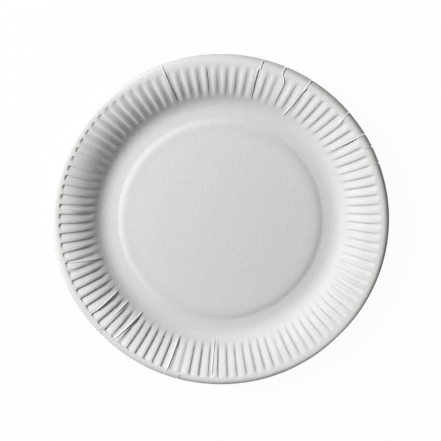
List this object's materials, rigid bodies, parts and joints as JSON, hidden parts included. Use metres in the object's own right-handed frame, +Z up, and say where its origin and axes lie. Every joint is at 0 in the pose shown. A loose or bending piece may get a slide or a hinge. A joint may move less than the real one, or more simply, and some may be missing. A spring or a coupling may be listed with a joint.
{
  "type": "paper plate",
  "caption": "Round pressed paper plate with a raised centre panel, coved well, radially fluted rim and turned-down lip, for serving food once.",
  "frame": {"origin": "centre of the plate's footprint, on the table that its foot ring stands on", "axes": "+Z up along the plate's round axis, out of the well; +X runs through the middle of a flute's channel"},
  "size_m": [0.23, 0.23, 0.0173],
  "materials": {
    "white_paperboard": "matte uncoated white paperboard, pressed and creased"
  },
  "bodies": {
    "root": {"plate": "white_paperboard"}
  },
  "joints": []
}
